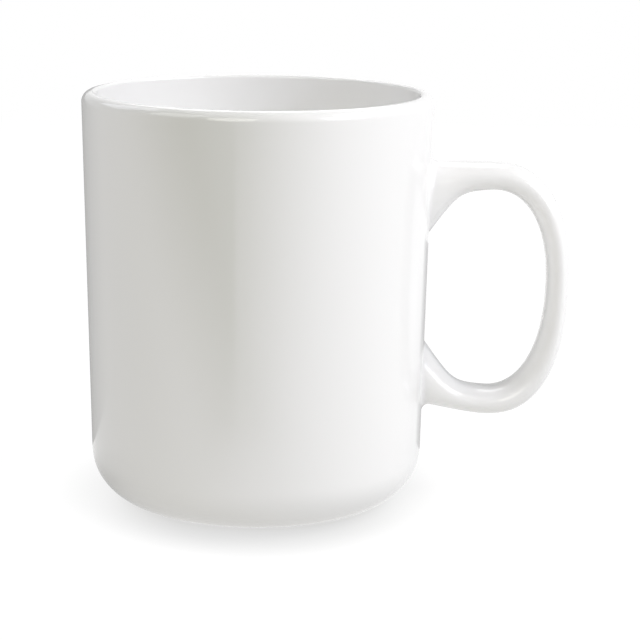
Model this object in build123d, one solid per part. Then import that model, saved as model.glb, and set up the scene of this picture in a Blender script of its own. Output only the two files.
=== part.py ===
from build123d import *
from math import acos, cos, radians, sin, sqrt
import os

# A straight-sided ceramic mug with a strap handle, as fired clay, slip and glaze.
# Frame: origin on the cup's axis at the plane it stands on, +Z up, handle towards +X.
# All sizes are in millimetres. "Over the glaze" means the finished, coated size.

# ---- Cup, over the glaze ----
RIM_DIAMETER = 82.0          # widest, at the rim
WALL_TAPER = 1.4             # how much smaller the radius is at the table than at the rim
HEIGHT = 96.4                # table to the crown of the rim
RIM_THICKNESS = 3.2          # wall at the rim
LOW_WALL_THICKNESS = 5.0     # wall where it meets the floor
RIM_INNER_RADIUS = 0.8       # rim's inner edge; its outer edge takes the rest of the wall
RIM_FLAT = 0.1               # what the two rounded rim edges leave between them
BOTTOM_RADIUS = 11.4         # outside corner between wall and table
INSIDE_RADIUS = 10.0         # inside corner between wall and floor
FLOOR_THICKNESS = 5.0        # between the recess below and the floor inside

# ---- Foot, bare clay ----
FOOT_WIDTH = 3.2             # flat of the ring that it stands on
RECESS_DEPTH = 2.0           # clay, from the table up to the recess's ceiling
RECESS_SLOPE_WIDTH = 1.6     # how far the recess's side leans in over its depth
RECESS_FILLET = 1.4          # recess's side to its ceiling
FOOT_EDGE_RADIUS = 0.5       # inner edge of the ring
BARE_ABOVE_TABLE = 0.8       # height, on the clay, at which the outside glaze stops
BARE_IN_RECESS = 0.6         # depth of the ring's inner side that is wiped bare

# ---- Coats ----
GLAZE = 0.3                  # thickness of the fired glaze
SLIP_LAYER = 0.4             # slip between the handle's cut end and the wall
SLIP_FILLET = 2.0            # radius of the smoothed bead, on the clay

# ---- Handle, over the glaze ----
HANDLE_BELOW_RIM = 15.9      # crown of the rim down to the top of the handle
HANDLE_ABOVE_TABLE = 19.6    # table up to the underside of the bow
HANDLE_REACH = 33.1          # how far the bow stands out from the rim's radius
RUN_LENGTH = 14.4            # rim's radius to where the bow begins to turn
BOW_CENTRE_LIFT = 1.4        # widest level of the bow above the handle's mid height
RUN_THICKNESS = 6.4          # strap, top to bottom, in its two level runs
BOW_THICKNESS = 5.2          # strap, inside to outside, at its widest level
STRAP_WIDTH = 12.4           # strap across, along Y
ROOT_SPREAD = 1.0            # how much wider each side of the strap is at the rim's radius
OUTER_FULLNESS = 2.39        # exponent of the bow's outer curve: 2 is an ellipse, more is squarer
INNER_FULLNESS = 2.22        # exponent of its inner curve
LOWER_ROOT_RISE = 2.1        # how far the bow's underside climbs on its way to the wall
ROOT_BEND = 1.2              # exponent of that climb: 1 is straight
GUSSET_REACH = 6.5           # rim's radius to where the finger gap's corner gussets begin
GUSSET_SLOPE = 1.5           # their rise for each millimetre towards the wall
GUSSET_EASE = 3.0            # how gently they leave the level run
ROOT_DEPTH = 3.0             # how far the uncut strap runs inside the wall

RUN_SECTIONS = 6             # steps between the sections that shape each level run
BOW_SECTIONS = 5             # steps between the sections that shape each eighth of the bow

# ---- Derived sizes ----
rim_radius = RIM_DIAMETER / 2
base_radius = rim_radius - WALL_TAPER
clay_rim_radius = rim_radius - GLAZE
clay_base_radius = base_radius - GLAZE
clay_height = HEIGHT - GLAZE
clay_rim_thickness = RIM_THICKNESS - 2 * GLAZE
clay_low_wall = LOW_WALL_THICKNESS - 2 * GLAZE
rim_inner_round = RIM_INNER_RADIUS - GLAZE
rim_outer_round = clay_rim_thickness - RIM_FLAT - rim_inner_round
crown_radius = clay_rim_radius - rim_outer_round - RIM_FLAT / 2
floor_level = RECESS_DEPTH + FLOOR_THICKNESS
foot_outer_radius = clay_base_radius - (BOTTOM_RADIUS - GLAZE)
foot_inner_radius = foot_outer_radius - FOOT_WIDTH

handle_top = HEIGHT - HANDLE_BELOW_RIM
handle_bottom = HANDLE_ABOVE_TABLE
bow_x = rim_radius + RUN_LENGTH
bow_z = (handle_top + handle_bottom) / 2 + BOW_CENTRE_LIFT
bow_reach = HANDLE_REACH - RUN_LENGTH
gusset_x = rim_radius + GUSSET_REACH
root_x = base_radius - ROOT_DEPTH


def upright_face(points):
    """Face in the XZ plane with these corners; X is the distance from the cup's axis."""
    return Plane.XZ * make_face(Polyline(*points, close=True))


def round_corner(face, point, radius):
    """Round the corner of an upright face that lies at point (x, z)."""
    corner = face.vertices().sort_by_distance((point[0], 0, point[1]))[0]
    return fillet(corner, radius)


def turned(section):
    """Solid of revolution of a half section about the cup's axis, its seam away from the handle."""
    return Rot(Z=180) * revolve(section, Axis.Z)


# ---- Cup ----
wall_foot = (clay_base_radius, 0)
wall_top = (clay_rim_radius, clay_height)
inside_top = (clay_rim_radius - clay_rim_thickness, clay_height)
inside_corner = (clay_base_radius - clay_low_wall, floor_level)
foot_corner = (foot_inner_radius, 0)
recess_corner = (foot_inner_radius - RECESS_SLOPE_WIDTH, RECESS_DEPTH)


def clay_section():
    """Half section of the clay cup: floor, ring, corner, wall and rounded rim."""
    face = upright_face([
        (0, RECESS_DEPTH),
        recess_corner,
        foot_corner,
        wall_foot,
        wall_top,
        inside_top,
        inside_corner,
        (0, floor_level),
    ])
    face = round_corner(face, recess_corner, RECESS_FILLET)
    face = round_corner(face, foot_corner, FOOT_EDGE_RADIUS)
    face = round_corner(face, wall_foot, BOTTOM_RADIUS - GLAZE)
    face = round_corner(face, wall_top, rim_outer_round)
    face = round_corner(face, inside_top, rim_inner_round)
    return round_corner(face, inside_corner, INSIDE_RADIUS)


def outside_section():
    """Half section of the clay cup's outside, filled in to its axis."""
    face = upright_face([(0, 0), wall_foot, wall_top, (0, clay_height)])
    face = round_corner(face, wall_foot, BOTTOM_RADIUS - GLAZE)
    return round_corner(face, wall_top, rim_outer_round)


def grown(section, amount):
    """The half section with every side moved out by amount, kept on its side of the axis."""
    right_half = upright_face([(0, -HEIGHT), (RIM_DIAMETER, -HEIGHT),
                               (RIM_DIAMETER, 2 * HEIGHT), (0, 2 * HEIGHT)])
    return offset(section, amount) & right_half


# ---- Handle ----
def bow_point(turn, reach, rise, fullness):
    """Point of a superellipse about the bow's centre, turn degrees round from its widest level."""
    x = bow_x + reach * cos(radians(turn)) ** (2 / fullness)
    return Vector(x, 0, bow_z + rise * sin(radians(turn)) ** (2 / fullness))


def gusset(x):
    """Height of a finger gap's corner gusset at x: a slope eased out of the level run."""
    def eased(distance):
        return (distance + sqrt(distance ** 2 + GUSSET_EASE ** 2)) / 2
    return GUSSET_SLOPE * (eased(gusset_x - x) - eased(gusset_x - bow_x))


def oval(outer, inner, width):
    """Oval cut across the strap, from a point on its outer line to one on its inner line."""
    across = outer - inner
    plane = Plane((outer + inner) / 2, x_dir=across, z_dir=across.cross(Vector(0, 1, 0)))
    halves = [EllipticalCenterArc((0, 0), across.length / 2, width / 2, start_angle=start, arc_size=180)
              for start in (90, 270)]
    return plane * make_face(halves)


def run(outer_z, climb, inset):
    """
    A level run of the strap, from its uncut root to the bow. outer_z is its outer side at the bow,
    and climb is how far that side has moved towards the handle's middle at the rim's radius.
    """
    inward = 1 if outer_z < bow_z else -1
    ovals = []
    for i in range(RUN_SECTIONS + 1):
        x = root_x + (bow_x - root_x) * i / RUN_SECTIONS
        share = (bow_x - x) / RUN_LENGTH
        outer = Vector(x, 0, outer_z + inward * (inset + climb * share ** ROOT_BEND))
        inner = Vector(x, 0, outer_z + inward * (RUN_THICKNESS + gusset(x) - inset))
        width = STRAP_WIDTH + 2 * (ROOT_SPREAD * share ** 2 - inset)
        ovals.append(oval(outer, inner, width))
    return loft(ovals)


def bow_length(outer_z, first_turn, last_turn, inset):
    """A length of the bow between two turns, on the side of its widest level that outer_z is on."""
    inward = 1 if outer_z < bow_z else -1
    rise = outer_z - bow_z
    ovals = []
    for i in range(BOW_SECTIONS + 1):
        turn = first_turn + (last_turn - first_turn) * i / BOW_SECTIONS
        outer = bow_point(turn, bow_reach - inset, rise + inward * inset, OUTER_FULLNESS)
        inner = bow_point(turn, bow_reach - BOW_THICKNESS + inset,
                          rise + inward * (RUN_THICKNESS - inset), INNER_FULLNESS)
        ovals.append(oval(outer, inner, STRAP_WIDTH - 2 * inset))
    return loft(ovals)


def strap(inset):
    """The uncut handle, drawn in by inset, with its ends running on inside the wall."""
    lengths = [run(handle_top, 0, inset), run(handle_bottom, LOWER_ROOT_RISE, inset)]
    for outer_z in (handle_top, handle_bottom):
        lengths += [bow_length(outer_z, 90, 45, inset), bow_length(outer_z, 45, 0, inset)]
    return lengths[0].fuse(*lengths[1:])


def joined(cup_form, handle_form, radius):
    """Cup and handle as one form, with a fillet of radius where the handle leaves the wall."""
    form = cup_form + handle_form
    boxes = [(edge, edge.bounding_box()) for edge in form.edges()]
    seams = [edge for edge, box in boxes if box.min.X > 0 and box.max.X < rim_radius]
    return fillet(seams, radius)


# ---- Clay and slip ----
clay_outside = turned(outside_section())
clay_strap = strap(GLAZE)
clay_joined = joined(clay_outside, clay_strap, SLIP_FILLET)

cup_body = turned(clay_section())
handle = clay_strap - turned(grown(outside_section(), SLIP_LAYER))
lower_slip_joint, upper_slip_joint = (clay_joined - clay_outside - handle).solids().sort_by(Axis.Z)

# ---- Glaze ----
# The coats share one offset of the clay. Where they meet or stop, they are cut here.
mid_floor = RECESS_DEPTH + FLOOR_THICKNESS / 2
bare_turn = acos(1 - BARE_ABOVE_TABLE / (BOTTOM_RADIUS - GLAZE))
corner_centre = (foot_outer_radius, BOTTOM_RADIUS - GLAZE)
past_corner = 2 * BOTTOM_RADIUS

inside_zone = upright_face([
    (0, mid_floor),
    (inside_corner[0] - INSIDE_RADIUS, mid_floor),
    inside_corner,
    (crown_radius, clay_height),
    (crown_radius, HEIGHT + GLAZE),
    (0, HEIGHT + GLAZE),
])
underside_zone = upright_face([
    (0, BARE_IN_RECESS),
    (foot_outer_radius, BARE_IN_RECESS),
    (foot_outer_radius, mid_floor),
    (0, mid_floor),
])
crown_zone = upright_face([
    (0, clay_height - rim_inner_round),
    (crown_radius, clay_height - rim_inner_round),
    (crown_radius, HEIGHT + GLAZE),
    (0, HEIGHT + GLAZE),
])
bare_zone = upright_face([
    (0, corner_centre[1]),
    corner_centre,
    (corner_centre[0] + past_corner * sin(bare_turn),
     corner_centre[1] - past_corner * cos(bare_turn)),
    (0, corner_centre[1] - past_corner * cos(bare_turn)),
])

coat = grown(clay_section(), GLAZE) - clay_section()
inside_glaze = turned(coat & inside_zone)
underside_glaze = turned(coat & underside_zone)
glaze_joined = joined(turned(grown(outside_section(), GLAZE)), strap(0), SLIP_FILLET - GLAZE)
outside_glaze = glaze_joined - clay_joined - turned(crown_zone) - turned(bare_zone)

# ---- Output ----
nodes = {
    "cup_body": cup_body,
    "handle": handle,
    "upper_slip_joint": upper_slip_joint,
    "lower_slip_joint": lower_slip_joint,
    "outside_glaze": outside_glaze,
    "inside_glaze": inside_glaze,
    "underside_glaze": underside_glaze,
}

os.makedirs("parts", exist_ok=True)
for name, shape in nodes.items():
    export_step(shape, f"parts/{name}.step")
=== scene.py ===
from math import atan2, ceil, cos, hypot, pi, radians, sin

import bpy
import numpy as np
from mathutils import Matrix, Vector


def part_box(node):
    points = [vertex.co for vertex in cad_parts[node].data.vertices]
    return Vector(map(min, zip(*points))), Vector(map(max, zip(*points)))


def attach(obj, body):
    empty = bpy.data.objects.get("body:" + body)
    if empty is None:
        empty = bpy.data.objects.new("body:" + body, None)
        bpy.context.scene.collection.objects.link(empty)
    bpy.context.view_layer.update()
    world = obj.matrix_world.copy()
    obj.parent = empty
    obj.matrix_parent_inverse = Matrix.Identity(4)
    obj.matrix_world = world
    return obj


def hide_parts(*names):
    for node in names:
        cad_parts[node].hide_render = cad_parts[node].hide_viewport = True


# A white glazed mug: the glaze as one unbroken coat over cup, joints and handle, and the fired clay
# that shows where the glaze is wiped off the ring it stands on.
# Shapes are worked out in millimetres, and go into the meshes in metres.

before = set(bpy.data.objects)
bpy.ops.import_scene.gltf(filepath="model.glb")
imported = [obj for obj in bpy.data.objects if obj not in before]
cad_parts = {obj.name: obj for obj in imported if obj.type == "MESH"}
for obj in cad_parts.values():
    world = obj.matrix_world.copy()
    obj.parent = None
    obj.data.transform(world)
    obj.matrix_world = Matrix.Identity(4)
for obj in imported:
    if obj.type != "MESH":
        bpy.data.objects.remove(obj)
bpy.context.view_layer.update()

scene = bpy.context.scene
MM = 0.001

# ---- Sizes read from the frame, in mm ----
_, coat_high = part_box("outside_glaze")
liner_low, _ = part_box("inside_glaze")
_, cup_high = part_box("cup_body")
strap_low, strap_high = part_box("handle")
_, underside_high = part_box("underside_glaze")

clay_rim_radius = cup_high.y / MM
clay_height = cup_high.z / MM
floor_level = liner_low.z / MM
recess_depth = underside_high.z / MM
glaze = (coat_high.z - cup_high.z) / MM
bow_tip = coat_high.x / MM
handle_top = strap_high.z / MM + glaze
handle_bottom = strap_low.z / MM - glaze

# ---- Cup, on the clay ----
WALL_TAPER = 1.4              # how much smaller the radius is at the table than at the rim
RIM_THICKNESS = 2.6
LOW_WALL_THICKNESS = 4.4
RIM_OUTER_ROUND = 2.0
RIM_INNER_ROUND = 0.5
BOTTOM_RADIUS = 11.1
INSIDE_RADIUS = 10.0
FOOT_WIDTH = 3.2              # flat of the ring that it stands on
RECESS_SLOPE_WIDTH = 1.6
RECESS_FILLET = 1.4
FOOT_EDGE_RADIUS = 0.5
BARE_ABOVE_TABLE = 0.8        # height at which the outside glaze stops
BARE_IN_RECESS = 0.6          # height at which the underside glaze starts
GLAZE_LIP = 1.2               # length over which the glaze thins out to its edge
GLAZE_EDGE = 0.1              # square of the share of its thickness that is left there

# ---- Handle, over the glaze ----
RUN_LENGTH = 14.4             # rim's radius to where the bow begins to turn
BOW_CENTRE_LIFT = 1.4         # widest level of the bow above the handle's mid height
RUN_THICKNESS = 6.4           # strap, top to bottom, in its two level runs
BOW_THICKNESS = 5.2           # strap, inside to outside, at its widest level
STRAP_WIDTH = 12.4
ROOT_SPREAD = 1.0             # how much wider each side of the strap is at the rim's radius
OUTER_FULLNESS = 2.39         # exponent of the bow's outer curve: 2 is an ellipse, more is squarer
INNER_FULLNESS = 2.22
SECTION_FULLNESS = 2.15       # exponent of the strap's oval section
LOWER_ROOT_RISE = 2.1         # how far the bow's underside climbs on its way to the wall
ROOT_EASE = 2.5               # how gently that climb begins
GUSSET_REACH = 6.5            # rim's radius to where the finger gap's corner gussets begin
GUSSET_SLOPE = 1.5
GUSSET_EASE = 3.0
JOINT_FILLET = 1.7

# ---- Fineness of the meshes ----
COLUMNS = 192                 # faces round the cup
ROW_STEP = 1.4                # mm between rows on the outer wall, where the handle grows out
FOOT_STEP = 0.6               # mm between rows on the foot and the crown of the rim
PLAIN_STEP = 4.0              # mm between rows on the inner wall, the floor and the recess
ARC_STEP = 5.0                # degrees between rows on rounded corners
UPRIGHT = 0.999               # outward share of a normal from which a row is on the outer wall
HOLE_COLUMNS = 9              # columns on each side of the handle that give way to a joint
HOLE_ROWS = 10                # rows above and below a joint's middle that do the same
COLLAR_RINGS = 4              # rings between a joint's edge and the cup's own grid
FILLET_RINGS = 8
RUN_RINGS = 16
BOW_RINGS = 48                # rings in each half of the bow
MEET_ROUNDS = 40              # rounds of substitution that find where the strap meets the wall
SLOPE_STEP = 0.02             # mm, and radians, over which the strap's slopes are measured there

# ---- Derived sizes ----
# The clay is widest where the rim's rounding begins. The line of the wall leans on out from there.
clay_rim_radius += RIM_OUTER_ROUND * WALL_TAPER / clay_height
clay_base_radius = clay_rim_radius - WALL_TAPER
rim_radius = clay_rim_radius + glaze
base_radius = clay_base_radius + glaze
foot_inner_radius = clay_base_radius - BOTTOM_RADIUS - FOOT_WIDTH
bow_x = rim_radius + RUN_LENGTH
bow_reach = bow_tip - bow_x
bow_z = (handle_top + handle_bottom) / 2 + BOW_CENTRE_LIFT
gusset_x = rim_radius + GUSSET_REACH
column_step = 2 * pi / COLUMNS


def wall_radius(z):
    """Radius of the glazed outer wall at height z."""
    return base_radius + (rim_radius - base_radius) * z / clay_height


# ---- Section of the cup ----
def rounded_section(corners, radii, side_steps):
    """
    Chain of straight sides with rounded corners, as points and outward normals, each (n, 2) in
    distance from the axis and height. A corner's arc has its centre at the radius from both of its
    sides, inside the clay where the section turns left and outside it where it turns right.
    side_steps gives the spacing of the points on each side.
    """
    corners = np.array(corners, float)
    along = np.diff(corners, axis=0)
    along /= np.linalg.norm(along, axis=1, keepdims=True)
    outward = np.stack([along[:, 1], -along[:, 0]], axis=1)
    points, normals = [], []
    start = corners[0]
    for i, radius in enumerate(radii):
        before, after = outward[i], outward[i + 1]
        left = 1 if np.cross(along[i], along[i + 1]) > 0 else -1
        centre = np.linalg.solve([before, after],
                                 [before @ corners[i + 1] - left * radius,
                                  after @ corners[i + 1] - left * radius])
        first = atan2(*(left * before)[::-1])
        turn = atan2(np.cross(before, after), before @ after)
        arc_start = centre + left * radius * before
        steps = ceil(np.linalg.norm(arc_start - start) / side_steps[i])
        share = np.linspace(0, 1, steps, endpoint=False)[:, None]
        points.append(start + share * (arc_start - start))
        normals.append(np.repeat(before[None], steps, axis=0))
        steps = ceil(abs(turn) / radians(ARC_STEP))
        angle = first + turn * np.linspace(0, 1, steps, endpoint=False)
        radial = np.stack([np.cos(angle), np.sin(angle)], axis=1)
        points.append(centre + radius * radial)
        normals.append(left * radial)
        start = centre + left * radius * after
    steps = ceil(np.linalg.norm(corners[-1] - start) / side_steps[-1])
    points.append(start + np.linspace(0, 1, steps + 1)[:, None] * (corners[-1] - start))
    normals.append(np.repeat(outward[-1][None], steps + 1, axis=0))
    return np.concatenate(points), np.concatenate(normals)


section, section_normals = rounded_section(
    [
        (0, recess_depth),
        (foot_inner_radius - RECESS_SLOPE_WIDTH, recess_depth),
        (foot_inner_radius, 0),
        (clay_base_radius, 0),
        (clay_rim_radius, clay_height),
        (clay_rim_radius - RIM_THICKNESS, clay_height),
        (clay_base_radius - LOW_WALL_THICKNESS, floor_level),
        (0, floor_level),
    ],
    [RECESS_FILLET, FOOT_EDGE_RADIUS, BOTTOM_RADIUS, RIM_OUTER_ROUND, RIM_INNER_ROUND,
     INSIDE_RADIUS],
    [PLAIN_STEP, FOOT_STEP, FOOT_STEP, ROW_STEP, FOOT_STEP, PLAIN_STEP, PLAIN_STEP],
)
lowest = np.argmin(section[:, 1])
coat_start = lowest + np.flatnonzero(section[lowest:, 1] >= BARE_ABOVE_TABLE)[0]
underside_end = np.flatnonzero(section[:lowest, 1] >= BARE_IN_RECESS)[-1] + 1


def glazed(first, last, edge):
    """Rows first to last of the section, moved out by the glaze, which thins towards row edge."""
    rows, normals = section[first:last], section_normals[first:last]
    steps = np.linalg.norm(np.diff(rows, axis=0), axis=1)
    travel = np.concatenate([[0], np.cumsum(steps)])
    share = np.clip(np.abs(travel - travel[edge]) / GLAZE_LIP, 0, 1)
    thickness = glaze * np.sqrt(1 - (1 - GLAZE_EDGE) * (1 - share) ** 2)
    return rows + normals * thickness[:, None]


# ---- Meshes ----
def turned(rows):
    """Points of a surface of revolution: each row (radius, height) carried round the axis."""
    angle = column_step * np.arange(COLUMNS)
    x = rows[:, :1] * np.cos(angle)
    y = rows[:, :1] * np.sin(angle)
    z = np.repeat(rows[:, 1:], COLUMNS, axis=1)
    return np.stack([x, y, z], axis=-1).reshape(-1, 3)


def bands(index):
    """Faces between each row of a table of point numbers and the next, closed round each row."""
    here, there = index[:-1], index[1:]
    quads = [here, np.roll(here, -1, axis=1), np.roll(there, -1, axis=1), there]
    return np.stack(quads, axis=-1)


def new_piece(name, points, faces, material):
    """Mesh object from points in mm and faces of point numbers, less those repeated in a face."""
    used, numbers = np.unique(faces, return_inverse=True)
    numbers = numbers.reshape(faces.shape)
    polygons = [list(dict.fromkeys(face)) for face in numbers.tolist()]
    mesh = bpy.data.meshes.new(name)
    mesh.from_pydata((points[used] * MM).tolist(), [], polygons)
    mesh.polygons.foreach_set("use_smooth", np.ones(len(polygons), bool))
    mesh.materials.append(material)
    mesh.update()
    piece = bpy.data.objects.new(name, mesh)
    scene.collection.objects.link(piece)
    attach(piece, "root")
    return piece


def section_index(rows):
    """Point numbers of a turned section. A row on the axis is one point, its pole."""
    index = np.arange(len(rows) * COLUMNS).reshape(len(rows), COLUMNS)
    on_axis = rows[:, 0] == 0
    index[on_axis] = index[on_axis, :1]
    return index


def thicken(piece, thickness):
    """Give a skin its thickness, inwards."""
    solidify = piece.modifiers.new("thickness", "SOLIDIFY")
    solidify.thickness = thickness * MM
    solidify.offset = -1
    solidify.use_even_offset = True


# ---- Handle ----
def eased(distance, ease):
    """A ramp that is 0 below distance 0 and distance above it, rounded over about ease."""
    return (distance + np.sqrt(distance ** 2 + ease ** 2)) / 2


def oval(turn):
    """Superellipse of unit half axes, at turn: towards the strap's outer side, and across it."""
    power = 2 / SECTION_FULLNESS
    out, across = np.cos(turn), np.sin(turn)
    return np.sign(out) * np.abs(out) ** power, np.sign(across) * np.abs(across) ** power


def run_points(x, turn, side):
    """
    Points of a level run of the strap at distance x from the axis: an upright oval between the
    outer line, which is level or climbs a little to the wall, and the inner line, which holds the
    gusset. side is 1 for the upper run and -1 for the lower.
    """
    edge, climb = (handle_top, 0) if side > 0 else (handle_bottom, LOWER_ROOT_RISE)
    back = bow_x - x
    full_climb = hypot(RUN_LENGTH, ROOT_EASE) - ROOT_EASE
    rise = climb * (np.hypot(back, ROOT_EASE) - ROOT_EASE) / full_climb
    at_bow = eased(gusset_x - bow_x, GUSSET_EASE)
    gusset = GUSSET_SLOPE * (eased(gusset_x - x, GUSSET_EASE) - at_bow)
    outer = edge - side * rise
    inner = edge - side * (RUN_THICKNESS + gusset)
    half_width = STRAP_WIDTH / 2 + ROOT_SPREAD * (back / RUN_LENGTH) ** 2
    out, across = oval(turn)
    z = (outer + inner) / 2 + (outer - inner) / 2 * out
    return np.stack([x + 0 * turn, half_width * across, z], axis=-1)


def bow_points(swing, turn, side):
    """
    Points of one half of the bow at a swing from its widest level, in degrees: an oval between
    two superellipses about the bow's centre, square to the line that joins them.
    """
    edge = handle_top if side > 0 else handle_bottom
    swing = np.radians(swing)[:, None]
    lines = []
    for reach, rise, fullness in ((bow_reach, edge - bow_z, OUTER_FULLNESS),
                                  (bow_reach - BOW_THICKNESS, edge - side * RUN_THICKNESS - bow_z,
                                   INNER_FULLNESS)):
        lines.append((bow_x + reach * np.cos(swing) ** (2 / fullness),
                      bow_z + rise * np.sin(swing) ** (2 / fullness)))
    (outer_x, outer_z), (inner_x, inner_z) = lines
    out, across = oval(turn)
    x = (outer_x + inner_x) / 2 + (outer_x - inner_x) / 2 * out
    z = (outer_z + inner_z) / 2 + (outer_z - inner_z) / 2 * out
    return np.stack([x, np.broadcast_to(STRAP_WIDTH / 2 * across, x.shape), z], axis=-1)


def unit(vectors):
    """The vectors at length 1."""
    return vectors / np.linalg.norm(vectors, axis=-1, keepdims=True)


def dot(a, b):
    """Dot products of two arrays of vectors, with the last axis kept."""
    return np.sum(a * b, axis=-1, keepdims=True)


def on_wall(angle, z):
    """Points of the glazed wall at these angles and heights."""
    radius = wall_radius(z)
    return np.stack([radius * np.cos(angle), radius * np.sin(angle), z], axis=-1)


def meeting_x(turn, side):
    """Distance x at which each line of the strap meets the wall, by repeated substitution."""
    x = np.full(turn.shape, rim_radius)
    for _ in range(MEET_ROUNDS):
        meet = run_points(x, turn, side)
        x = np.sqrt(wall_radius(meet[:, 2]) ** 2 - meet[:, 1] ** 2)
    return x


def wall_normals(points):
    """Outward normals of the glazed wall, a cone, at these points."""
    lean = (rim_radius - base_radius) / clay_height
    drop = -lean * np.hypot(points[:, 0], points[:, 1])
    return unit(np.stack([points[:, 0], points[:, 1], drop], axis=-1))


def root_rings(turn, side, hole):
    """
    Rings from the cup's grid to the strap, and each line's distance x where the strap takes over.
    At the point where a line of the strap meets the wall, a conic arc of the fillet's radius
    touches the strap on one side and the wall on the other, and from its foot a collar in the
    wall runs out to the hole in the grid.
    """
    x = meeting_x(turn, side)
    meet = run_points(x, turn, side)
    along = (run_points(x + SLOPE_STEP, turn, side) - meet) / SLOPE_STEP
    round_strap = (run_points(x, turn + SLOPE_STEP, side)
                   - run_points(x, turn - SLOPE_STEP, side))
    strap_normal = side * unit(np.cross(along, round_strap))
    wall_normal = wall_normals(meet)
    down_wall = unit(strap_normal - dot(strap_normal, wall_normal) * wall_normal)
    angle = np.arccos(np.clip(dot(unit(along), down_wall), -1, 1))
    reach = JOINT_FILLET / np.tan(angle / 2)
    strap_x = x + (reach / np.linalg.norm(along, axis=-1, keepdims=True))[:, 0]
    head = run_points(strap_x, turn, side)
    foot = meet + reach * down_wall
    foot_angle = np.arctan2(foot[:, 1], foot[:, 0])
    foot_z = foot[:, 2]
    foot = on_wall(foot_angle, foot_z)
    share = np.linspace(0, 1, FILLET_RINGS + 1)[:, None, None]
    weights = (1 - share) ** 2, 2 * share * (1 - share) * np.sin(angle / 2), share ** 2
    arc = (weights[0] * foot + weights[1] * meet + weights[2] * head) / sum(weights)
    share = np.linspace(0, 1, COLLAR_RINGS + 1)[1:-1, None]
    collar = on_wall(hole[0] * (1 - share) + foot_angle * share,
                     hole[1] * (1 - share) + foot_z * share)
    return np.concatenate([collar, arc]), strap_x


# Steps round the edge of a joint's hole, in columns and in rows, from the middle of its outer side
# and back to it.
hole_across = np.concatenate([
    np.arange(0, HOLE_COLUMNS + 1),
    np.full(2 * HOLE_ROWS - 1, HOLE_COLUMNS),
    np.arange(HOLE_COLUMNS, -HOLE_COLUMNS - 1, -1),
    np.full(2 * HOLE_ROWS - 1, -HOLE_COLUMNS),
    np.arange(-HOLE_COLUMNS, 0),
])
hole_outwards = np.concatenate([
    np.full(HOLE_COLUMNS + 1, HOLE_ROWS),
    np.arange(HOLE_ROWS - 1, -HOLE_ROWS, -1),
    np.full(2 * HOLE_COLUMNS + 1, -HOLE_ROWS),
    np.arange(-HOLE_ROWS + 1, HOLE_ROWS),
    np.full(HOLE_COLUMNS, HOLE_ROWS),
])


def strap_points(turn, roots, takeovers):
    """Rings of the whole strap, from its upper root round the bow to its lower root."""
    share = np.linspace(0, 1, RUN_RINGS + 1)[1:, None]
    upper_run, lower_run = [run_points(start * (1 - share) + bow_x * share, turn[None], side)
                            for start, side in zip(takeovers, (1, -1))]
    swing = np.linspace(90, 0, BOW_RINGS + 1)[1:]
    upper_bow = bow_points(swing, turn, 1)
    lower_bow = bow_points(swing[:-1], turn, -1)
    return np.concatenate([roots[0], upper_run, upper_bow,
                           lower_bow[::-1], lower_run[::-1], roots[1][::-1]])


def glaze_coat(material):
    """
    The glaze in one skin: the turned section from its edge above the table, over the rim and down
    to the middle of the floor inside, with the strap grown out of two holes in the outer wall.
    """
    rows = glazed(coat_start, len(section), 0)
    rows[-1, 0] = 0
    points = turned(rows)
    index = section_index(rows)
    faces = bands(index)
    wall_rows = np.flatnonzero(section_normals[coat_start:, 0] > UPRIGHT)
    wall_z = rows[:, 1]

    half_height = (RUN_THICKNESS + GUSSET_SLOPE * GUSSET_REACH) / 2 + JOINT_FILLET
    half_width = STRAP_WIDTH / 2 + ROOT_SPREAD + JOINT_FILLET
    turn = np.arctan2(hole_across * column_step * rim_radius / half_width,
                      hole_outwards * ROW_STEP / half_height)
    keep = np.ones(faces.shape[:2], bool)
    edges, roots, takeovers = [], [], []
    for side, outer_z in ((1, handle_top), (-1, handle_bottom)):
        middle_z = outer_z - side * (half_height - JOINT_FILLET)
        middle = wall_rows[np.argmin(np.abs(wall_z[wall_rows] - middle_z))]
        edge_rows = middle + side * hole_outwards
        edges.append(index[edge_rows, hole_across])
        keep[middle - HOLE_ROWS:middle + HOLE_ROWS, :HOLE_COLUMNS] = False
        keep[middle - HOLE_ROWS:middle + HOLE_ROWS, -HOLE_COLUMNS:] = False
        rings, strap_x = root_rings(turn, side, (hole_across * column_step, wall_z[edge_rows]))
        roots.append(rings)
        takeovers.append(strap_x)

    strap = strap_points(turn, roots, takeovers)
    strap_index = len(points) + np.arange(strap[..., 0].size).reshape(strap.shape[:2])
    strap_faces = bands(np.concatenate([edges[0][None], strap_index, edges[1][None]]))[..., ::-1]
    points = np.concatenate([points, strap.reshape(-1, 3)])
    faces = np.concatenate([faces[keep], strap_faces.reshape(-1, 4)])
    piece = new_piece("glaze_coat", points, faces, material)
    thicken(piece, glaze)
    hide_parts("outside_glaze", "inside_glaze")


def underside_glaze(material):
    """The disc of glaze in the recess: the turned section from the middle to the wiped edge."""
    rows = glazed(0, underside_end, -1)
    rows[0, 0] = 0
    faces = bands(section_index(rows)).reshape(-1, 4)
    piece = new_piece("underside_glaze_disc", turned(rows), faces, material)
    thicken(piece, glaze)
    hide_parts("underside_glaze")


def clay_cup(material):
    """The fired cup: the whole turned section, from the middle below to the middle of its floor."""
    rows = section.copy()
    rows[[0, -1], 0] = 0
    faces = bands(section_index(rows)).reshape(-1, 4)
    piece = new_piece("fired_cup", turned(rows), faces, material)
    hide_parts("cup_body")


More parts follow.
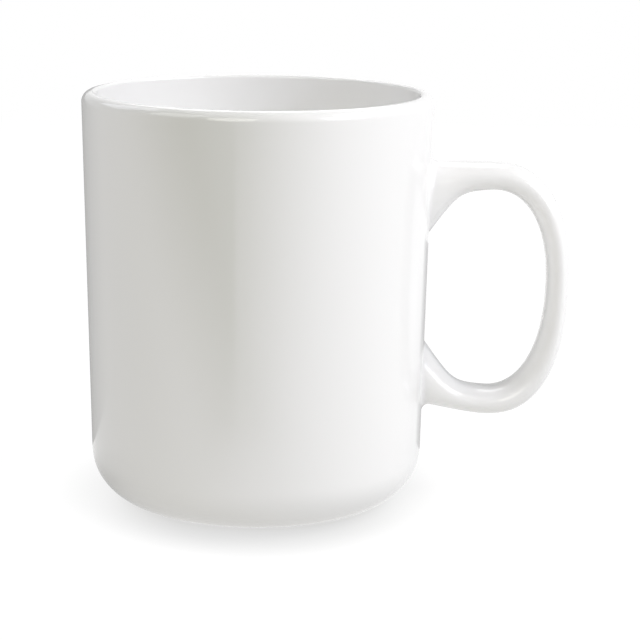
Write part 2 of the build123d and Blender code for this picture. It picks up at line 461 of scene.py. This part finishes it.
# ---- Materials ----
GLAZE_WHITE = "F4F4F4"
GLAZE_ROUGHNESS = 0.06
GLAZE_IOR = 1.5
WAVE_SIZE = 22                # mm across the glaze's broad waves
WAVE_HEIGHT = 0.03            # mm
WAVE_DETAIL = 0.0             # finer octaves added to a noise, here and below
RIPPLE_SIZE = 3               # mm across its fine ones
RIPPLE_HEIGHT = 0.001         # mm
RIPPLE_DETAIL = 1.0
CLAY_COLOURS = "E9E5DC", "DCD6CA"  # pale and dark
SLIP_COLOURS = "ECE9E2", "E4E0D6"  # the same
CLAY_ROUGHNESS = 0.85
CLAY_IOR = 1.45
CLAY_CLOUDS = 6               # mm across the largest changes of tone
CLAY_CLOUD_DETAIL = 4.0
CLAY_TONES = 0.35, 0.65       # of the noise, up to where clay is dark and from where it is pale
CLAY_GRAIN = 0.35             # mm
SLIP_GRAIN = 0.15             # mm
GRAIN_DETAIL = 3.0
GRAIN_RELIEF = 1 / 6          # height of the grain, as a share of its size


def linear(code):
    """sRGB hex colour as linear RGBA."""
    parts = [int(code[i:i + 2], 16) / 255 for i in (0, 2, 4)]
    return [c / 12.92 if c <= 0.04045 else ((c + 0.055) / 1.055) ** 2.4 for c in parts] + [1.0]


def grey(level):
    """Grey of a linear level as RGBA."""
    return [level, level, level, 1.0]


def add(tree, kind, settings=(), numbered=(), **named):
    """
    Adds a node. settings holds its attributes and its unlinked inputs. Links are named by their
    input, or numbered where inputs share a name.
    """
    node = tree.nodes.new(kind)
    for key, value in dict(settings).items():
        if key in node.inputs:
            node.inputs[key].default_value = value
        else:
            setattr(node, key, value)
    for key, source in [*dict(numbered).items(), *named.items()]:
        tree.links.new(source, node.inputs[key])
    return node


def new_material(name, roughness, ior):
    """Material with its node tree, its Principled shader and its Object coordinates."""
    material = bpy.data.materials.new(name)
    material.use_nodes = True
    tree = material.node_tree
    shader = tree.nodes["Principled BSDF"]
    shader.inputs["Roughness"].default_value = roughness
    shader.inputs["IOR"].default_value = ior
    return material, tree, shader, add(tree, "ShaderNodeTexCoord").outputs["Object"]


def per_metre(size_mm):
    """Scale of a noise pattern whose largest features are size_mm across."""
    return 1 / (size_mm * MM)


def gloss_glaze():
    """
    Opaque white glaze, fired glossy: a clear surface like window glass over an even white. Its
    surface is not quite flat, because it flowed as it melted, which bends reflections in waves a
    few centimetres and a few millimetres across.
    """
    material, tree, shader, coords = new_material("white_gloss_glaze", GLAZE_ROUGHNESS, GLAZE_IOR)
    shader.inputs["Base Color"].default_value = linear(GLAZE_WHITE)
    flow = add(tree, "ShaderNodeTexNoise",
               {"Scale": per_metre(WAVE_SIZE), "Detail": WAVE_DETAIL}, Vector=coords)
    waves = add(tree, "ShaderNodeBump", {"Distance": WAVE_HEIGHT * MM},
                Height=flow.outputs["Fac"])
    fine_flow = add(tree, "ShaderNodeTexNoise",
                    {"Scale": per_metre(RIPPLE_SIZE), "Detail": RIPPLE_DETAIL}, Vector=coords)
    ripples = add(tree, "ShaderNodeBump", {"Distance": RIPPLE_HEIGHT * MM},
                  Height=fine_flow.outputs["Fac"], Normal=waves.outputs["Normal"])
    tree.links.new(ripples.outputs["Normal"], shader.inputs["Normal"])
    return material


def fired_clay(name, pale, dark, grain_mm):
    """
    White clay fired without glaze: matt and off-white, a little uneven in tone from the kiln, and
    rough like fine sandpaper from its grain.
    """
    material, tree, shader, coords = new_material(name, CLAY_ROUGHNESS, CLAY_IOR)
    clouds = add(tree, "ShaderNodeTexNoise",
                 {"Scale": per_metre(CLAY_CLOUDS), "Detail": CLAY_CLOUD_DETAIL}, Vector=coords)
    tone = add(tree, "ShaderNodeValToRGB", Fac=clouds.outputs["Fac"])
    for element, position, colour in zip(tone.color_ramp.elements, CLAY_TONES, (dark, pale)):
        element.position = position
        element.color = linear(colour)
    grains = add(tree, "ShaderNodeTexNoise",
                 {"Scale": per_metre(grain_mm), "Detail": GRAIN_DETAIL}, Vector=coords)
    grain = add(tree, "ShaderNodeBump", {"Distance": grain_mm * GRAIN_RELIEF * MM},
                Height=grains.outputs["Fac"])
    tree.links.new(tone.outputs["Color"], shader.inputs["Base Color"])
    tree.links.new(grain.outputs["Normal"], shader.inputs["Normal"])
    return material


glaze_material = gloss_glaze()
clay_material = fired_clay("fired_white_clay", *CLAY_COLOURS, CLAY_GRAIN)
slip_material = fired_clay("fired_white_slip", *SLIP_COLOURS, SLIP_GRAIN)

glaze_coat(glaze_material)
underside_glaze(glaze_material)
clay_cup(clay_material)
for name, material in (("handle", clay_material), ("upper_slip_joint", slip_material),
                       ("lower_slip_joint", slip_material)):
    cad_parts[name].data.materials.clear()
    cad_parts[name].data.materials.append(material)

# ---- Studio ----
# Places and lengths are in metres, from the middle of the mug's foot.
TABLE_REACH = 0.7             # to the table's edges
TABLE_GAP = 0.02 * MM         # below the ring, which would otherwise share its plane
TABLE_GLOW = 0.50, 0.82       # light that the table sends up: to the left, and towards the window
TABLE_GLOW_SPAN = 0.12        # to where it reaches those levels
TABLE_COLOUR = "FFFEFA"       # of that light
TABLE_SEEN = 0.1              # grey of the table where it is seen, in the lamps' light
TABLE_LIFT = 0.95             # glow that brings the seen table up to the white of the background
# The mug's shadow on the seen table is painted into its glow, at the foot and in front of it.
FOOT_SHADE = 0.20             # most of that glow that is lost right at the foot
FOOT_SHADE_REACH = 0.012      # from the mug to where all of it is back
FRONT_SHADE = 0.17            # most of that glow that is lost in front of the foot
FRONT_SHADE_PLACE = (0, -0.018, 0)
FRONT_SHADE_REACH = 0.039     # from there to where all of it is back
FRONT_SHADE_RISE = 0.54       # share of that reach, from its far end, over which the shade rises
# Painted shade beside the foot, seen only where the table is mirrored.
LEFT_SHADE = 0.65             # most of the mirrored white that is lost beside the foot
LEFT_SHADE_PLACE = (-0.045, -0.014, 0)
LEFT_SHADE_REACH = 0.036      # from there to where all of it is back
LAMP_DISTANCE = 0.9           # from the middle of the mug
LAMP_WIDTH = 0.45
LAMPS = {                     # degrees from the camera's side towards +X, degrees up, watts, colour
    "window": (90, 42, 4.60, "FFFDF9"),
    "window_low": (60, 25, 3.10, "F2F4FF"),
    "front": (-15, 25, 2.42, "FFFCF3"),
    "left": (-60, 42, 1.60, "FFFFFF"),
    "behind_left": (-120, 42, 1.20, "F4F6FF"),
    "behind": (180, 42, 1.50, "FFFFFF"),
}
FLAGS = {                     # dark cards: from x to x, y, height, and level at each end
    "flag_behind_left": (-0.125, -0.038, 0.030, 0.100, 1.0, 0.35),
    "flag_behind_right": (0.034, 0.062, 0.030, 0.055, 0.5, 0.5),
}
FLAG_FADE = 0.008             # length at each end over which a card comes up to white
NET_AWAY = 0.066              # from the mug's axis towards the front lamp
NET_TOP = (-0.0140, 0.0172, 0.117)  # across that light, from and to, and up
NET_TIP = (0.0055, 0.0110, 0.034)   # the same at its lower end
NET_COLOUR = "AEAE91"         # of the light that it lets through
CAMERA_PLACE = (0.01507, -0.420, 0.14232)
CAMERA_DOWN = 0.23502         # radians below level
CAMERA_ROLL = 0.01346         # radians
LENS = 101.18                 # mm


def background_rays(tree):
    """1 for the rays that meet a plain white background: those seen, mirrored or let through."""
    path = add(tree, "ShaderNodeLightPath").outputs
    rays = path["Is Camera Ray"]
    for kind in ("Is Glossy Ray", "Is Transmission Ray"):
        either = add(tree, "ShaderNodeMath", {"operation": "MAXIMUM"}, {0: rays, 1: path[kind]})
        rays = either.outputs[0]
    return rays


def white_world():
    """World that is plain white where it is seen or mirrored, and lights nothing."""
    world = bpy.data.worlds.new("studio")
    scene.world = world
    world.use_nodes = True
    tree = world.node_tree
    background = tree.nodes["Background"]
    background.inputs["Color"].default_value = grey(1.0)
    tree.links.new(background_rays(tree), background.inputs["Strength"])


def stage_sheet(name, corners, material):
    """Flat sheet with these four corners that belongs to the stage."""
    mesh = bpy.data.meshes.new(name)
    mesh.from_pydata(corners, [], [(0, 1, 2, 3)])
    mesh.materials.append(material)
    sheet = bpy.data.objects.new(name, mesh)
    scene.collection.objects.link(sheet)
    return sheet


def empty_material(name):
    """Material with nothing but its output, and its node tree."""
    material = bpy.data.materials.new(name)
    material.use_nodes = True
    tree = material.node_tree
    tree.nodes.remove(tree.nodes["Principled BSDF"])
    return material, tree


def painted_shade(tree, coords, place, reach, depth, rise=1.0, interpolation="LINEAR"):
    """
    Painted shade: a level that is 1, and less near a place. The loss begins at reach from it,
    grows over the share rise of that reach, and then stays at depth.
    """
    local = add(tree, "ShaderNodeMapping",
                {"vector_type": "TEXTURE", "Location": place, "Scale": [reach, reach, reach]},
                Vector=coords)
    nearness = add(tree, "ShaderNodeTexGradient", {"gradient_type": "SPHERICAL"},
                   Vector=local.outputs["Vector"])
    level = add(tree, "ShaderNodeMapRange",
                {"interpolation_type": interpolation, "From Max": rise,
                 "To Min": 1.0, "To Max": 1 - depth}, Value=nearness.outputs["Fac"])
    return level.outputs["Result"]


def seen_table(tree, coords):
    """The table as it is seen: matt, lit by the lamps, and a glow with a painted shadow round the
    foot.
    """
    matt = add(tree, "ShaderNodeBsdfDiffuse", {"Color": grey(TABLE_SEEN)})
    # Painted shadow right at the foot, from ambient occlusion
    corner = add(tree, "ShaderNodeAmbientOcclusion", {"Distance": FOOT_SHADE_REACH})
    painted_foot_shadow = add(tree, "ShaderNodeMapRange",
                  {"To Min": TABLE_LIFT * (1 - FOOT_SHADE), "To Max": TABLE_LIFT},
                  Value=corner.outputs["AO"])
    # Painted shadow in front of the foot
    painted_front_shadow = painted_shade(tree, coords, FRONT_SHADE_PLACE, FRONT_SHADE_REACH, FRONT_SHADE,
                     FRONT_SHADE_RISE, "SMOOTHSTEP")
    level = add(tree, "ShaderNodeMath", {"operation": "MULTIPLY"},
                {0: painted_foot_shadow.outputs["Result"], 1: painted_front_shadow})
    lift = add(tree, "ShaderNodeEmission", Strength=level.outputs[0])
    return add(tree, "ShaderNodeAddShader", {}, {0: matt.outputs[0], 1: lift.outputs[0]})


def table_material():
    """
    White table. To the mug it is an even light, brighter towards the window. Mirrored, it is the
    white of the background, but for a painted shade beside the foot. From below it is clear, which
    leaves the mug's underside in view.
    """
    material, tree = empty_material("white_table")
    coords = add(tree, "ShaderNodeTexCoord").outputs["Object"]
    axes = add(tree, "ShaderNodeSeparateXYZ", Vector=coords)
    left, right = TABLE_GLOW
    glow = add(tree, "ShaderNodeMapRange",
               {"From Min": -TABLE_GLOW_SPAN, "From Max": TABLE_GLOW_SPAN,
                "To Min": left, "To Max": right}, Value=axes.outputs["X"])
    # Painted shade beside the foot, in the white that reflections see
    mirrored_white_with_painted_shade = painted_shade(tree, coords, LEFT_SHADE_PLACE, LEFT_SHADE_REACH, LEFT_SHADE)
    surface = add(tree, "ShaderNodeEmission", {"Color": linear(TABLE_COLOUR)},
                  Strength=glow.outputs["Result"])
    for where, shader in (
        (background_rays(tree), add(tree, "ShaderNodeEmission", Strength=mirrored_white_with_painted_shade)),
        (add(tree, "ShaderNodeLightPath").outputs["Is Camera Ray"], seen_table(tree, coords)),
        (add(tree, "ShaderNodeNewGeometry").outputs["Backfacing"],
         add(tree, "ShaderNodeBsdfTransparent")),
    ):
        surface = add(tree, "ShaderNodeMixShader", {},
                      {1: surface.outputs[0], 2: shader.outputs[0]}, Fac=where)
    tree.links.new(surface.outputs[0], tree.nodes["Material Output"].inputs["Surface"])
    return material


def leave_to(sheet, *kinds):
    """Leave a stage sheet to some kinds of ray, and hide it from all the others."""
    for kind in ("camera", "diffuse", "glossy", "transmission", "shadow"):
        setattr(sheet, "visible_" + kind, kind in kinds)


def flag(name, x_from, x_to, y, height, level_from, level_to):
    """
    Upright card that only reflections meet, for the edges of a glossy wall. Its level runs evenly
    from end to end, and fades to white at both ends, so that no edge of the card is mirrored.
    """
    material, tree = empty_material(name)
    coords = add(tree, "ShaderNodeTexCoord").outputs["Object"]
    along = add(tree, "ShaderNodeSeparateXYZ", Vector=coords).outputs["X"]
    level = add(tree, "ShaderNodeMapRange", {"From Min": x_from, "From Max": x_to,
                                             "To Min": level_from, "To Max": level_to}, Value=along)
    for end, inner in ((x_from, x_from + FLAG_FADE), (x_to, x_to - FLAG_FADE)):
        white = add(tree, "ShaderNodeMapRange", {"From Min": inner, "From Max": end}, Value=along)
        level = add(tree, "ShaderNodeMath", {"operation": "MAXIMUM"},
                    {0: level.outputs[0], 1: white.outputs[0]})
    glow = add(tree, "ShaderNodeEmission", Strength=level.outputs[0])
    tree.links.new(glow.outputs[0], tree.nodes["Material Output"].inputs["Surface"])
    corners = [(x_from, y, 0), (x_to, y, 0), (x_to, y, height), (x_from, y, height)]
    leave_to(stage_sheet(name, corners, material), "glossy")


def tinted_net():
    """
    Narrow upright wedge of fine net that only holds light off: it shades a soft band of the wall
    from the front lamp, most at the rim.
    """
    material, tree = empty_material("tinted_net")
    thin = add(tree, "ShaderNodeBsdfTransparent", {"Color": linear(NET_COLOUR)})
    tree.links.new(thin.outputs[0], tree.nodes["Material Output"].inputs["Surface"])
    turn = Matrix.Rotation(radians(LAMPS["front"][0]), 3, "Z")
    (left, right, top), (tip_left, tip_right, tip) = NET_TOP, NET_TIP
    corners = [turn @ Vector((across, -NET_AWAY, z))
               for across, z in ((tip_left, tip), (tip_right, tip), (right, top), (left, top))]
    leave_to(stage_sheet("tinted_net", corners, material), "shadow")


def lamp(name, azimuth, elevation, power, colour):
    """Square lamp that faces the middle of the mug."""
    data = bpy.data.lights.new(name, "AREA")
    data.color = linear(colour)[:3]
    data.size = LAMP_WIDTH
    data.energy = power
    light = bpy.data.objects.new(name, data)
    scene.collection.objects.link(light)
    middle = Vector((0, 0, clay_height / 2 * MM))
    across, up = radians(azimuth), radians(elevation)
    outward = Vector((sin(across) * cos(up), -cos(across) * cos(up), sin(up)))
    light.matrix_world = (Matrix.Translation(middle + LAMP_DISTANCE * outward)
                          @ outward.to_track_quat("Z", "Y").to_matrix().to_4x4())


white_world()
table_corners = [(x * TABLE_REACH, y * TABLE_REACH, -TABLE_GAP)
                 for x, y in ((-1, -1), (1, -1), (1, 1), (-1, 1))]
stage_sheet("table_top", table_corners, table_material())
for name, settings in LAMPS.items():
    lamp(name, *settings)
for name, settings in FLAGS.items():
    flag(name, *settings)
tinted_net()

camera_data = bpy.data.cameras.new("camera")
camera_data.lens = LENS
camera = bpy.data.objects.new("camera", camera_data)
scene.collection.objects.link(camera)
camera.matrix_world = (Matrix.Translation(CAMERA_PLACE)
                       @ Matrix.Rotation(pi / 2 - CAMERA_DOWN, 4, "X")
                       @ Matrix.Rotation(CAMERA_ROLL, 4, "Z"))
scene.camera = camera
scene.view_settings.view_transform = "Standard"
